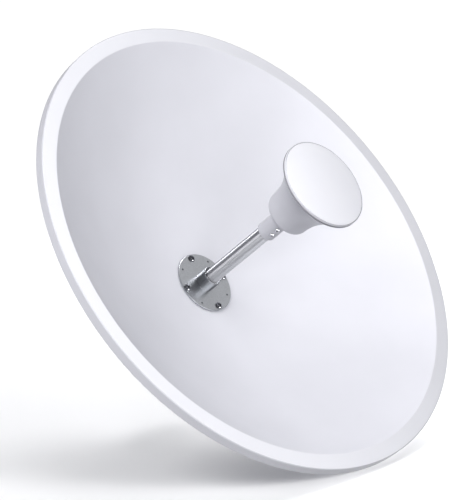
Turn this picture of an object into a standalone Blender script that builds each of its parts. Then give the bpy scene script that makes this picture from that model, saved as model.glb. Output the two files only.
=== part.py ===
# Microwave dish antenna: a spun reflector, a horn feed on a tube, and a tilting mast bracket behind.
# Metres, +Z up. The dish faces -Y, and the origin lies on the rear face of the mast channel's web.
# Lengths along the dish axis are given as distances in front of that face, so y is their negative.

import math

import bmesh
import bpy
from mathutils import Matrix, Vector

# General
FIT = 0.0003  # gap left between pieces that touch
PAST = 0.01  # how far a cutter runs past what it cuts
HUB_FACE = 0.058  # front of the reflector's flat hub, in front of the mast face

# Reflector
DISH_RADIUS = 0.324
BOWL_RADIUS = 0.303
BOWL_DEPTH = 0.1085  # hub to the bowl's sharp edge
BAND_FALL = 0.0005  # how far the rim band slopes back over its width
LIP_DEPTH = 0.014
SHEET = 0.002
HUB_RADIUS = 0.0405
HUB_HOLE_RADIUS = 0.012
EDGE_ROUND = 0.0012
DISH_STEPS = 96
FRONT_STEPS = 10
BACK_STEPS = 8

# Feed flange with its boss
FLANGE_RADIUS = 0.042
FLANGE_THICK = 0.0032
FLANGE_BEVEL = 0.001
BOSS_RADIUS = 0.0134
BOSS_HEIGHT = 0.018
BOSS_FILLET = 0.004
MOUTH_RADIUS = 0.0122
MOUTH_DEPTH = 0.0026
PIN_HOLE_RADIUS = 0.0011
PIN_HOLE_DEPTH = 0.0016

# Bolts through the flange, the hub and the tilt bracket
FLANGE_BOLT_CIRCLE = 0.036
M6_RADIUS = 0.003
M6_HOLE = 0.0033
M6_NUT_FLATS = 0.010
M6_NUT_THICK = 0.005
THREAD_TAIL = 0.0015  # how far a bolt stands out of its nut
BUTTON_RADIUS = 0.0048
BUTTON_HEIGHT = 0.0026
SOCKET_FLATS = 0.004
SOCKET_DEPTH = 0.0015

# Feed tube, collar and horn
TUBE_RADIUS = 0.0102
TUBE_WALL = 0.0015
TUBE_INTO_HORN = 0.011
COLLAR_RADIUS = 0.0132
COLLAR_LENGTH = 0.0408
COLLAR_ROUND = 0.002
HORN_BACK = 0.175  # rear of the horn's cup, in front of the hub
HORN_LENGTH = 0.0768
HORN_CUP_RADIUS = 0.0308
HORN_CUP_ROUND = 0.008
HORN_RADIUS = 0.061
HORN_RIM = 0.002  # straight band round the mouth
HORN_WALL = 0.0025
HORN_FLARE_POWER = 2.5
HORN_STEPS = 48
HORN_FLARE_STEPS = 8
LID_EDGE = 0.003
LID_DOME = 0.003
LID_CORNER = 0.0008
DOME_STEPS = 5
COLLAR_SCREW_FROM_HORN = (0.0163, 0.0282)
COLLAR_SCREW_ANGLES = (50.0, 230.0)
COLLAR_SCREW_HEAD = 0.0031
COLLAR_SCREW_RISE = 0.0015
COLLAR_SCREW_RADIUS = 0.0015

# Parts behind the reflector
BACKING_RADIUS = 0.050
BACKING_THICK = 0.003
PLATE = 0.003
TILT_INNER_HALF = 0.044
TILT_HALF_HEIGHT = 0.055
TILT_REACH = 0.010  # rear edge of the cheeks, in front of the mast face
TILT_BEND = 0.002
CHEEK_CHAMFER = 0.014
PIVOT_AHEAD = 0.028
PIVOT_DROP = 0.030
SLOT_HALF_ANGLE = 12.0
WEB_THICK = 0.004
WEB_HALF_WIDTH = 0.052
WEB_HALF_HEIGHT = 0.076
WEB_CORNER = 0.007
EAR_HALF_HEIGHT = 0.044
EAR_REACH = 0.041
EAR_CHAMFER = 0.010

# M8 bolts and the mast clamps
M8_RADIUS = 0.004
M8_HOLE = 0.0044
M8_FLATS = 0.013
M8_HEAD = 0.0053
M8_NUT = 0.0065
CLAMP_BOLT_X = 0.036
CLAMP_BOLT_Z = 0.060
CLAMP_BOLT_TAIL = 0.0605
JAW_HALF_WIDTH = 0.046
JAW_HEIGHT = 0.028
JAW_BACK = 0.0515
JAW_SHOULDER_X = 0.031
JAW_TOOTH = 0.0014
JAW_TEETH = 5
MAST_RADIUS = 0.0215
VEE_HALF_ANGLE = 60.0

# Feed outlet housing with its two connectors
OUTLET_HALF_WIDTH = 0.0245
OUTLET_HALF_HEIGHT = 0.022
OUTLET_DEPTH = 0.019
OUTLET_CORNER = 0.004
CONNECTOR_X = 0.0152
CONNECTOR_RADIUS = 0.0078
CONNECTOR_BARREL = 0.0070
CONNECTOR_BORE = 0.0052
CONNECTOR_LENGTH = 0.022
CONNECTOR_SHOULDER = 0.004
CONNECTOR_DEPTH = 0.008
CONNECTOR_PIN = 0.0014

# Faces that several parts share, in front of the mast face
RIM_FACE = HUB_FACE + BOWL_DEPTH
FLANGE_BACK = HUB_FACE + FIT
FLANGE_FACE = FLANGE_BACK + FLANGE_THICK
HUB_BACK = HUB_FACE - SHEET
BACKING_FACE = HUB_BACK - FIT
BACKING_BACK = BACKING_FACE - BACKING_THICK
TILT_FACE = BACKING_BACK - FIT
TILT_BACK = TILT_FACE - PLATE
HORN_REAR = HUB_FACE + HORN_BACK
HORN_FRONT = HORN_REAR + HORN_LENGTH


def clear_scene():
    for obj in list(bpy.data.objects):
        bpy.data.objects.remove(obj)


def collection(name, shown):
    made = bpy.data.collections.new(name)
    bpy.context.scene.collection.children.link(made)
    made.hide_render = not shown
    return made


def material(name, colour, roughness, metallic):
    made = bpy.data.materials.new(name)
    made.use_nodes = True
    shader = made.node_tree.nodes["Principled BSDF"]
    shader.inputs["Base Color"].default_value = (*colour, 1.0)
    shader.inputs["Roughness"].default_value = roughness
    shader.inputs["Metallic"].default_value = metallic
    made.diffuse_color = (*colour, 1.0)
    return made


def mesh_object(name, bm, home, surface=None):
    """Turn a finished bmesh into an object, faces outward, round sides shaded smooth."""
    bmesh.ops.recalc_face_normals(bm, faces=bm.faces)
    mesh = bpy.data.meshes.new(name)
    bm.to_mesh(mesh)
    bm.free()
    mesh.shade_smooth()
    mesh.set_sharp_from_angle(angle=math.radians(35))
    obj = bpy.data.objects.new(name, mesh)
    if surface:
        mesh.materials.append(surface)
    home.objects.link(obj)
    if home.hide_render:
        obj.display_type = "WIRE"
        obj.hide_render = True
    return obj


def turned(name, profile, steps, home, surface=None, ring=True):
    """Turn (radius, height) points about local Z. A ring's profile closes on itself."""
    bm = bmesh.new()
    verts = [bm.verts.new((radius, 0.0, height)) for radius, height in profile]
    pairs = list(zip(verts, verts[1:]))
    if ring:
        pairs.append((verts[-1], verts[0]))
    edges = [bm.edges.new(pair) for pair in pairs]
    bmesh.ops.spin(
        bm,
        geom=verts + edges,
        cent=(0, 0, 0),
        axis=(0, 0, 1),
        angle=2 * math.pi,
        steps=steps,
        use_merge=True,
    )
    bmesh.ops.remove_doubles(bm, verts=bm.verts, dist=1e-6)
    return mesh_object(name, bm, home, surface)


def turned_on_axis(name, profile, steps, home, surface=None, ring=True):
    """Turn a piece about the dish axis: heights are distances in front of the mast face."""
    obj = turned(name, profile, steps, home, surface, ring)
    obj.rotation_euler.x = math.radians(90)
    return obj


# Where local x, y and z go when a prism runs along X, Y or Z
PRISM_TURN = {
    "X": Matrix(((0, 0, 1), (1, 0, 0), (0, 1, 0))),
    "Y": Matrix(((1, 0, 0), (0, 0, 1), (0, 1, 0))),
    "Z": Matrix.Identity(3),
}


def prism(name, outline, along, low, high, home, surface=None):
    """Extrude an outline along a row axis. Outlines are (y, z) for X, (x, z) for Y, (x, y) for Z."""
    bm = bmesh.new()
    turn = PRISM_TURN[along]
    face = bm.faces.new([bm.verts.new(turn @ Vector((a, b, low))) for a, b in outline])
    grown = bmesh.ops.extrude_face_region(bm, geom=[face])
    moved = [item for item in grown["geom"] if isinstance(item, bmesh.types.BMVert)]
    bmesh.ops.translate(bm, verts=moved, vec=turn @ Vector((0, 0, high - low)))
    return mesh_object(name, bm, home, surface)


def arc(centre, radius, start, end, steps):
    """Points on an arc, angles in degrees from the first axis towards the second."""
    angles = [math.radians(start + (end - start) * i / steps) for i in range(steps + 1)]
    return [(centre[0] + radius * math.cos(a), centre[1] + radius * math.sin(a)) for a in angles]


def rounded_rectangle(half_a, half_b, corner, steps=4):
    points = []
    for quarter, (sign_a, sign_b) in enumerate(((1, 1), (-1, 1), (-1, -1), (1, -1))):
        centre = (sign_a * (half_a - corner), sign_b * (half_b - corner))
        points += arc(centre, corner, 90 * quarter, 90 * quarter + 90, steps)
    return points


def hexagon(flats):
    return arc((0, 0), flats / math.sqrt(3), 0, 300, 5)


def circle(centre, radius, steps=20):
    """A polygon whose corners lie half a step off the axes, clear of the edges of turned parts."""
    first = 180 / steps
    return arc(centre, radius, first, first + 360 - 360 / steps, steps - 1)


def boolean(body, cutter, operation="DIFFERENCE"):
    modifier = body.modifiers.new(cutter.name, "BOOLEAN")
    modifier.operation = operation
    modifier.solver = "EXACT"
    modifier.object = cutter


def bowl_front(radius):
    """Distance in front of the mast face of the bowl's paraboloid, which meets the flat hub."""
    share = (radius ** 2 - HUB_RADIUS ** 2) / (BOWL_RADIUS ** 2 - HUB_RADIUS ** 2)
    return HUB_FACE + BOWL_DEPTH * share


def bowl_slope(radius):
    return 2 * radius * BOWL_DEPTH / (BOWL_RADIUS ** 2 - HUB_RADIUS ** 2)


def reflector(home, surface, cutters):
    """Spun sheet dish: flat hub, paraboloid, sloping rim band and a lip turned back."""
    front = [(HUB_HOLE_RADIUS, HUB_FACE)]
    for i in range(FRONT_STEPS + 1):
        radius = HUB_RADIUS + (BOWL_RADIUS - HUB_RADIUS) * i / FRONT_STEPS
        front.append((radius, bowl_front(radius)))
    band_edge = RIM_FACE - BAND_FALL
    front += arc((DISH_RADIUS - EDGE_ROUND, band_edge - EDGE_ROUND), EDGE_ROUND, 90, 0, 2)
    lip_end = band_edge - LIP_DEPTH
    inner = DISH_RADIUS - SHEET
    front += [(DISH_RADIUS, lip_end), (inner, lip_end), (inner, band_edge - SHEET)]
    back = []
    for i in range(BACK_STEPS, -1, -1):
        radius = HUB_RADIUS + (BOWL_RADIUS - HUB_RADIUS) * i / BACK_STEPS
        lean = math.atan(bowl_slope(radius))
        back.append((radius + SHEET * math.sin(lean), bowl_front(radius) - SHEET * math.cos(lean)))
    back[-1] = (HUB_RADIUS, HUB_BACK)
    back.append((HUB_HOLE_RADIUS, HUB_BACK))
    dish = turned_on_axis("reflector", front + back, DISH_STEPS, home, surface)
    for cutter in cutters:
        boolean(dish, cutter)


def feed_flange(home, surface, cutters, pin_cutters):
    """Round flange and tall boss in one piece, with a fillet at the foot and a wider mouth."""
    bore = TUBE_RADIUS + FIT
    top = FLANGE_FACE + BOSS_HEIGHT
    half_bevel = FLANGE_BEVEL / 2
    profile = [(bore, FLANGE_BACK), (FLANGE_RADIUS - half_bevel, FLANGE_BACK)]
    profile += [(FLANGE_RADIUS, FLANGE_BACK + half_bevel), (FLANGE_RADIUS, FLANGE_FACE - FLANGE_BEVEL)]
    profile += [(FLANGE_RADIUS - FLANGE_BEVEL, FLANGE_FACE)]
    profile += arc((BOSS_RADIUS + BOSS_FILLET, FLANGE_FACE + BOSS_FILLET), BOSS_FILLET, 270, 180, 4)
    profile += [(BOSS_RADIUS, top - half_bevel), (BOSS_RADIUS - half_bevel, top)]
    profile += [(MOUTH_RADIUS, top), (MOUTH_RADIUS, top - MOUTH_DEPTH), (bore, top - MOUTH_DEPTH)]
    flange = turned_on_axis("feed_flange", profile, 40, home, surface)
    for cutter in cutters + pin_cutters:
        boolean(flange, cutter)


def feed_tube(home, surface):
    back = FLANGE_BACK + FIT
    front = HORN_REAR + TUBE_INTO_HORN
    inner = TUBE_RADIUS - TUBE_WALL
    profile = [(inner, back), (TUBE_RADIUS, back), (TUBE_RADIUS, front), (inner, front)]
    turned_on_axis("feed_tube", profile, 32, home, surface)


def tube_collar(home, surface, cutters):
    bore = TUBE_RADIUS + FIT
    front = HORN_REAR - FIT
    back = front - COLLAR_LENGTH
    profile = [(bore, back)]
    profile += arc((COLLAR_RADIUS - COLLAR_ROUND, back + COLLAR_ROUND), COLLAR_ROUND, 270, 360, 4)
    profile += [(COLLAR_RADIUS, front), (bore, front)]
    collar = turned_on_axis("tube_collar", profile, 32, home, surface)
    for cutter in cutters:
        boolean(collar, cutter)


def feed_horn(home, surface):
    """Hollow bell: a cup with a rounded foot that flares by a power of the distance from its rear."""
    bore = TUBE_RADIUS + FIT
    cup_floor = HORN_REAR + HORN_WALL
    corner = HORN_CUP_RADIUS - HORN_CUP_ROUND
    flare_end = HORN_LENGTH - HORN_RIM
    flare = []
    for i in range(HORN_FLARE_STEPS + 1):
        height = HORN_CUP_ROUND + (flare_end - HORN_CUP_ROUND) * i / HORN_FLARE_STEPS
        share = (height / flare_end) ** HORN_FLARE_POWER
        flare.append((HORN_CUP_RADIUS + (HORN_RADIUS - HORN_CUP_RADIUS) * share, HORN_REAR + height))
    outer = [(bore, HORN_REAR)]
    outer += arc((corner, HORN_REAR + HORN_CUP_ROUND), HORN_CUP_ROUND, 270, 360, 4)[:-1]
    outer += flare + [(HORN_RADIUS, HORN_FRONT)]
    inner = [(HORN_RADIUS - HORN_WALL, HORN_FRONT)]
    inner += [(radius - HORN_WALL, height) for radius, height in reversed(flare[::2])]
    inner += [(corner, cup_floor), (bore, cup_floor)]
    turned_on_axis("feed_horn", outer + inner, HORN_STEPS, home, surface)


def horn_lid(home, surface):
    """Shallow domed cap that closes the horn's mouth."""
    back = HORN_FRONT + FIT
    edge = back + LID_EDGE
    profile = [(0.0, back), (HORN_RADIUS, back), (HORN_RADIUS, edge - LID_CORNER)]
    for i in range(DOME_STEPS + 1):
        share = 1 - i / DOME_STEPS
        profile.append(((HORN_RADIUS - LID_CORNER) * share, edge + LID_DOME * (1 - share ** 2)))
    turned_on_axis("horn_lid", profile, HORN_STEPS, home, surface, ring=False)


def backing_plate(home, surface, cutters):
    profile = [(HUB_HOLE_RADIUS, BACKING_BACK), (BACKING_RADIUS, BACKING_BACK)]
    profile += [(BACKING_RADIUS, BACKING_FACE), (HUB_HOLE_RADIUS, BACKING_FACE)]
    plate = turned_on_axis("backing_plate", profile, 48, home, surface)
    for cutter in cutters:
        boolean(plate, cutter)


def tilt_bracket(home, surface, cutters):
    """Folded sheet: a base on the hub and two cheeks that reach back to the mast channel."""
    outer = TILT_INNER_HALF + PLATE
    rear = -TILT_REACH
    bend = (TILT_BEND - TILT_INNER_HALF, TILT_BEND - TILT_BACK)
    outside = [(-outer, rear)] + arc(bend, PLATE + TILT_BEND, 180, 270, 4)
    inside = arc(bend, TILT_BEND, 270, 180, 3) + [(-TILT_INNER_HALF, rear)]
    outside_right = [(-x, y) for x, y in reversed(outside)]
    inside_right = [(-x, y) for x, y in reversed(inside)]
    outline = outside + outside_right + inside_right + inside
    bracket = prism("tilt_bracket", outline, "Z", -TILT_HALF_HEIGHT, TILT_HALF_HEIGHT, home, surface)
    for cutter in cutters:
        boolean(bracket, cutter)


def mast_channel(home, surface, ears, cutters):
    """Flat web that the mast bears on, with two ears that sit inside the tilt bracket's cheeks."""
    web = rounded_rectangle(WEB_HALF_WIDTH, WEB_HALF_HEIGHT, WEB_CORNER)
    channel = prism("mast_channel", web, "Y", -WEB_THICK, 0.0, home, surface)
    for ear in ears:
        boolean(channel, ear, "UNION")
    for cutter in cutters:
        boolean(channel, cutter)


def vee_outline():
    """Plan of a clamp jaw: a toothed vee that takes the mast, and a straight back."""
    slope = 1 / math.tan(math.radians(VEE_HALF_ANGLE))
    apex = MAST_RADIUS + (MAST_RADIUS + JAW_TOOTH) / math.sin(math.radians(VEE_HALF_ANGLE))
    pitch = JAW_SHOULDER_X / (JAW_TEETH + 0.5)
    side = []
    for i in range(JAW_TEETH):
        root = JAW_SHOULDER_X - pitch * i
        side.append((root, apex - slope * root))
        crest = root - pitch / 2
        side.append((crest, apex - slope * crest - JAW_TOOTH))
    side.append((pitch / 2, apex - slope * pitch / 2))
    shoulder = apex - slope * JAW_SHOULDER_X
    right = [(JAW_HALF_WIDTH, JAW_BACK), (JAW_HALF_WIDTH, shoulder)] + side
    return right + [(-x, y) for x, y in reversed(right)]


def clamp_jaw(name, middle, home, surface, cutters):
    half = JAW_HEIGHT / 2
    jaw = prism(name, vee_outline(), "Z", middle - half, middle + half, home, surface)
    for cutter in cutters:
        boolean(jaw, cutter)


def m8_bolt(name, length, cutters_home, home, surface):
    """Hexagon head above local z = 0, shank below it. Returns both, to be set down together."""
    bolt = prism(name, hexagon(M8_FLATS), "Z", 0.0, M8_HEAD, home, surface)
    outline = circle((0, 0), M8_RADIUS, 16)
    shank = prism(name + "_shank", outline, "Z", -length, M8_HEAD / 2, cutters_home)
    boolean(bolt, shank, "UNION")
    return bolt, shank


def hex_nut(name, flats, thick, hole, home, surface):
    """Hexagon nut with its seat at local z = 0, going up."""
    bm = bmesh.new()
    rings = []
    for height in (0.0, thick):
        outer = [bm.verts.new((x, y, height)) for x, y in hexagon(flats)]
        inner = [bm.verts.new((x, y, height)) for x, y in circle((0, 0), hole, 18)]
        rings.append((outer, inner))
    (low_outer, low_inner), (high_outer, high_inner) = rings
    sectors = len(low_outer)
    per_side = len(low_inner) // sectors
    for i in range(sectors):
        j = (i + 1) % sectors
        bm.faces.new((low_outer[i], low_outer[j], high_outer[j], high_outer[i]))
        run = [(i * per_side + k) % len(low_inner) for k in range(per_side + 1)]
        for outer, inner in rings:
            bm.faces.new([outer[i], outer[j]] + [inner[k] for k in reversed(run)])
    for i in range(len(low_inner)):
        j = (i + 1) % len(low_inner)
        bm.faces.new((low_inner[i], low_inner[j], high_inner[j], high_inner[i]))
    return mesh_object(name, bm, home, surface)


def place(obj, position, towards):
    """Set an object down with its local Z along a row direction."""
    obj.location = position
    turns = {
        "-Y": (math.radians(90), 0, 0),
        "+Y": (math.radians(-90), 0, 0),
        "+X": (0, math.radians(90), 0),
        "-X": (0, math.radians(-90), 0),
        "-Z": (math.radians(180), 0, 0),
    }
    obj.rotation_euler = turns[towards]


def button_bolt(name, home, surface, cutters_home):
    """Round-headed screw with a hexagon socket: seat at local z = 0, shank below. Returns both."""
    length = FLANGE_FACE + FIT - (TILT_BACK - FIT - M6_NUT_THICK - THREAD_TAIL)
    rise = BUTTON_HEIGHT
    profile = [(0.0, -length), (M6_RADIUS, -length), (M6_RADIUS, 0.0), (BUTTON_RADIUS, 0.0)]
    profile += [(BUTTON_RADIUS, rise * 0.35), (BUTTON_RADIUS * 0.9, rise * 0.7)]
    profile += [(BUTTON_RADIUS * 0.66, rise), (0.0, rise)]
    screw = turned(name, profile, 24, home, surface, ring=False)
    low, high = rise - SOCKET_DEPTH, rise + SOCKET_DEPTH
    socket = prism(name + "_socket", hexagon(SOCKET_FLATS), "Z", low, high, cutters_home)
    boolean(screw, socket)
    return screw, socket


def on_bolt_circle(angle):
    turn = math.radians(angle)
    return FLANGE_BOLT_CIRCLE * math.cos(turn), FLANGE_BOLT_CIRCLE * math.sin(turn)


def flange_bolts(home, surface, cutters_home):
    for i in range(4):
        x, z = on_bolt_circle(90 * i)
        screw, socket = button_bolt(f"flange_bolt_{i + 1}", home, surface, cutters_home)
        for item in (screw, socket):
            place(item, (x, -FLANGE_FACE - FIT, z), "-Y")
        nut = hex_nut(f"flange_nut_{i + 1}", M6_NUT_FLATS, M6_NUT_THICK, M6_HOLE, home, surface)
        place(nut, (x, -TILT_BACK + FIT, z), "+Y")


def collar_screws(home, surface):
    """Two screws in line on each of two opposite sides of the collar."""
    for number, (angle, back) in enumerate(
        (angle, back) for angle in COLLAR_SCREW_ANGLES for back in COLLAR_SCREW_FROM_HORN
    ):
        head, rise, shank = COLLAR_SCREW_HEAD, COLLAR_SCREW_RISE, COLLAR_SCREW_RADIUS
        seat = COLLAR_RADIUS + FIT
        foot = TUBE_RADIUS + 2 * FIT
        profile = [(0.0, foot), (shank, foot), (shank, seat), (head, seat), (head, seat + rise * 0.6)]
        profile += [(head * 0.7, seat + rise), (0.0, seat + rise)]
        screw = turned(f"collar_screw_{number + 1}", profile, 16, home, surface, ring=False)
        screw.rotation_mode = "QUATERNION"
        direction = (math.cos(math.radians(angle)), 0.0, math.sin(math.radians(angle)))
        turn = Matrix.Identity(3)
        turn.col[2] = direction
        turn.col[1] = (0.0, 1.0, 0.0)
        turn.col[0] = (direction[2], 0.0, -direction[0])
        screw.rotation_quaternion = turn.to_quaternion()
        screw.location = (0.0, -(HORN_REAR - back), 0.0)


def clamp_bolts(home, surface, cutters_home):
    """Four bolts from in front of the web, through it and the jaws, with nuts behind the jaws."""
    places = [(sx * CLAMP_BOLT_X, sz * CLAMP_BOLT_Z) for sz in (1, -1) for sx in (-1, 1)]
    seat = WEB_THICK + FIT
    for number, (x, z) in enumerate(places):
        name = f"clamp_bolt_{number + 1}"
        parts = m8_bolt(name, seat + CLAMP_BOLT_TAIL, cutters_home, home, surface)
        for item in parts:
            place(item, (x, -seat, z), "-Y")
        nut = hex_nut(f"clamp_nut_{number + 1}", M8_FLATS, M8_NUT, M8_HOLE, home, surface)
        place(nut, (x, JAW_BACK + FIT, z), "+Y")


def tilt_bolts(home, surface, cutters_home):
    """A pivot bolt low and a locking bolt high on each cheek, with nuts inside the channel's ears."""
    head_seat = TILT_INNER_HALF + PLATE + FIT
    ear_inner = TILT_INNER_HALF - FIT - PLATE
    nut_seat = ear_inner - FIT
    length = head_seat - nut_seat + M8_NUT + THREAD_TAIL
    for kind, z in (("pivot", -PIVOT_DROP), ("lock", PIVOT_DROP)):
        for side, sign, out, inward in (("left", -1, "-X", "+X"), ("right", 1, "+X", "-X")):
            name = f"{kind}_bolt_{side}"
            parts = m8_bolt(name, length, cutters_home, home, surface)
            for item in parts:
                place(item, (sign * head_seat, -PIVOT_AHEAD, z), out)
            nut = hex_nut(f"{kind}_nut_{side}", M8_FLATS, M8_NUT, M8_HOLE, home, surface)
            place(nut, (sign * nut_seat, -PIVOT_AHEAD, z), inward)


def outlet_housing(home, surface):
    outline = rounded_rectangle(OUTLET_HALF_WIDTH, OUTLET_HALF_HEIGHT, OUTLET_CORNER)
    front = -TILT_BACK + FIT
    prism("outlet_housing", outline, "Y", front, front + OUTLET_DEPTH, home, surface)


def connectors(home, surface):
    """Two coaxial sockets that point down from the housing."""
    middle = TILT_BACK - FIT - OUTLET_DEPTH / 2
    end = CONNECTOR_LENGTH
    floor, pin_end = end - CONNECTOR_DEPTH, end - CONNECTOR_DEPTH / 8
    profile = [(0.0, 0.0), (CONNECTOR_RADIUS, 0.0), (CONNECTOR_RADIUS, CONNECTOR_SHOULDER)]
    profile += [(CONNECTOR_BARREL, CONNECTOR_SHOULDER), (CONNECTOR_BARREL, end), (CONNECTOR_BORE, end)]
    profile += [(CONNECTOR_BORE, floor), (CONNECTOR_PIN, floor), (CONNECTOR_PIN, pin_end), (0.0, pin_end)]
    for name, sign in (("connector_left", -1), ("connector_right", 1)):
        obj = turned(name, profile, 24, home, surface, ring=False)
        place(obj, (sign * CONNECTOR_X, -middle, -OUTLET_HALF_HEIGHT - FIT), "-Z")


def flange_cutters(home):
    """Bolt holes through the flange, hub, backing plate and bracket base, and blind pin holes between."""
    bolts, pins = [], []
    front, back, pin_end = -FLANGE_FACE - PAST, -TILT_BACK + PAST, -FLANGE_FACE + PIN_HOLE_DEPTH
    for i in range(4):
        hole = circle(on_bolt_circle(90 * i), M6_HOLE)
        bolts.append(prism(f"flange_hole_{i + 1}", hole, "Y", front, back, home))
        hole = circle(on_bolt_circle(90 * i + 45), PIN_HOLE_RADIUS, 10)
        pins.append(prism(f"pin_hole_{i + 1}", hole, "Y", front, pin_end, home))
    return bolts, pins


def collar_cutters(home):
    made = []
    hole = circle((0, 0), COLLAR_SCREW_RADIUS + FIT, 12)
    low, high = TUBE_RADIUS - TUBE_WALL, COLLAR_RADIUS + PAST
    for angle in COLLAR_SCREW_ANGLES:
        for back in COLLAR_SCREW_FROM_HORN:
            cutter = prism(f"collar_hole_{len(made) + 1}", hole, "Z", low, high, home)
            cutter.location = (0.0, -(HORN_REAR - back), 0.0)
            cutter.rotation_euler.y = math.radians(90 - angle)
            made.append(cutter)
    return made


def slot_outline():
    """Curved slot about the pivot, in (y, z), with round ends."""
    pivot = (-PIVOT_AHEAD, -PIVOT_DROP)
    reach = 2 * PIVOT_DROP
    low, high = 90 - SLOT_HALF_ANGLE, 90 + SLOT_HALF_ANGLE
    ends = [arc(pivot, reach, angle, angle, 1)[0] for angle in (high, low)]
    outline = arc(pivot, reach + M8_HOLE, low, high, 8)
    outline += arc(ends[0], M8_HOLE, high, high + 180, 6)[1:-1]
    outline += arc(pivot, reach - M8_HOLE, high, low, 8)
    outline += arc(ends[1], M8_HOLE, low + 180, low + 360, 6)[1:-1]
    return outline


def tilt_cutters(home):
    reach = TILT_INNER_HALF + PLATE + PAST
    slot = prism("tilt_slots", slot_outline(), "X", -reach, reach, home)
    pivot = prism("pivot_holes", circle((-PIVOT_AHEAD, -PIVOT_DROP), M8_HOLE), "X", -reach, reach, home)
    lock = prism("lock_holes", circle((-PIVOT_AHEAD, PIVOT_DROP), M8_HOLE), "X", -reach, reach, home)
    round_hole = circle((0, 0), HUB_HOLE_RADIUS, 24)
    centre = prism("cable_hole", round_hole, "Y", -TILT_FACE - PAST, -TILT_BACK + PAST, home)
    trims = []
    for name, sign in (("upper_trim", 1), ("lower_trim", -1)):
        rear, edge = -TILT_REACH + PAST, sign * (TILT_HALF_HEIGHT + PAST)
        cut = CHEEK_CHAMFER + 2 * PAST
        corner = [(rear, edge), (rear - cut, edge), (rear, edge - sign * cut)]
        trims.append(prism(name, corner, "X", -reach, reach, home))
    return slot, pivot, lock, centre, trims


def ears(home):
    outer = TILT_INNER_HALF - FIT
    cut = EAR_CHAMFER
    back, front, half = -WEB_THICK / 2, -EAR_REACH, EAR_HALF_HEIGHT
    outline = [(back, -half), (back, half), (front + cut, half), (front, half - cut)]
    outline += [(front, cut - half), (front + cut, -half)]
    right = prism("ear_right", outline, "X", outer - PLATE, outer, home)
    left = prism("ear_left", outline, "X", -outer, PLATE - outer, home)
    return [left, right]


def clamp_cutters(home):
    made = []
    for sx in (-1, 1):
        for sz in (1, -1):
            outline = circle((sx * CLAMP_BOLT_X, sz * CLAMP_BOLT_Z), M8_HOLE)
            name = f"clamp_hole_{len(made) + 1}"
            made.append(prism(name, outline, "Y", -WEB_THICK - PAST, JAW_BACK + PAST, home))
    return made


def jaw_pocket(name, middle, home):
    """Hollows a jaw out from the mast side, leaving two toothed flanges and the back wall."""
    wide, half = JAW_HALF_WIDTH + PAST, JAW_HEIGHT / 2 - PLATE
    low, high = middle - half, middle + half
    outline = [(-wide, low), (wide, low), (wide, high), (-wide, high)]
    return prism(name, outline, "Y", 0.0, JAW_BACK - PLATE, home)


def build():
    clear_scene()
    home = collection("dish_antenna", True)
    hidden = collection("cutters", False)
    white_paint = material("white_paint", (0.86, 0.86, 0.88), 0.35, 0.0)
    feed_metal = material("feed_metal", (0.62, 0.63, 0.65), 0.3, 1.0)
    tube_metal = material("tube_metal", (0.70, 0.71, 0.73), 0.22, 1.0)
    white_plastic = material("white_plastic", (0.84, 0.84, 0.86), 0.4, 0.0)
    lid_plastic = material("lid_plastic", (0.88, 0.88, 0.90), 0.32, 0.0)
    bright_screws = material("bright_screws", (0.75, 0.75, 0.76), 0.15, 1.0)
    zinc_plate = material("zinc_plate", (0.58, 0.59, 0.61), 0.45, 1.0)
    zinc_bolts = material("zinc_bolts", (0.66, 0.66, 0.66), 0.3, 1.0)
    outlet_plastic = material("outlet_plastic", (0.80, 0.80, 0.82), 0.45, 0.0)
    connector_metal = material("connector_metal", (0.72, 0.68, 0.58), 0.25, 1.0)

    bolt_holes, pin_holes = flange_cutters(hidden)
    slot, pivot, lock, centre, trims = tilt_cutters(hidden)
    clamp_holes = clamp_cutters(hidden)

    reflector(home, white_paint, bolt_holes)
    feed_flange(home, feed_metal, bolt_holes, pin_holes)
    flange_bolts(home, bright_screws, hidden)
    feed_tube(home, tube_metal)
    tube_collar(home, white_plastic, collar_cutters(hidden))
    collar_screws(home, bright_screws)
    feed_horn(home, white_plastic)
    horn_lid(home, lid_plastic)
    backing_plate(home, zinc_plate, bolt_holes)
    tilt_bracket(home, zinc_plate, [slot, pivot, centre] + trims + bolt_holes)
    mast_channel(home, zinc_plate, ears(hidden), [pivot, lock] + clamp_holes)
    for name, middle in (("upper_jaw", CLAMP_BOLT_Z), ("lower_jaw", -CLAMP_BOLT_Z)):
        pocket = jaw_pocket(name + "_pocket", middle, hidden)
        clamp_jaw(name, middle, home, zinc_plate, [pocket] + clamp_holes)
    clamp_bolts(home, zinc_bolts, hidden)
    tilt_bolts(home, zinc_bolts, hidden)
    outlet_housing(home, outlet_plastic)
    connectors(home, connector_metal)


build()
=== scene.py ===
import math

import bmesh
import bpy
import numpy as np
from mathutils import Matrix, Vector


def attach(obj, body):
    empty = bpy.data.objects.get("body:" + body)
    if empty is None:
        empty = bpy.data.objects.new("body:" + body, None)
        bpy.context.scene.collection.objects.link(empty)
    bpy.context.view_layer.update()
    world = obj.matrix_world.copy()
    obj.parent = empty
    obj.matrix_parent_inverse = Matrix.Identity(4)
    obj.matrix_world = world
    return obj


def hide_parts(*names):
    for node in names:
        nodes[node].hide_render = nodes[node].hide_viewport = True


# Looks of the microwave dish antenna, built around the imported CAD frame.
# Metres. The dish faces -Y and +Z is up the mast.
# "ahead" is the distance in front of the mast face, so y is its negative.

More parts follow.
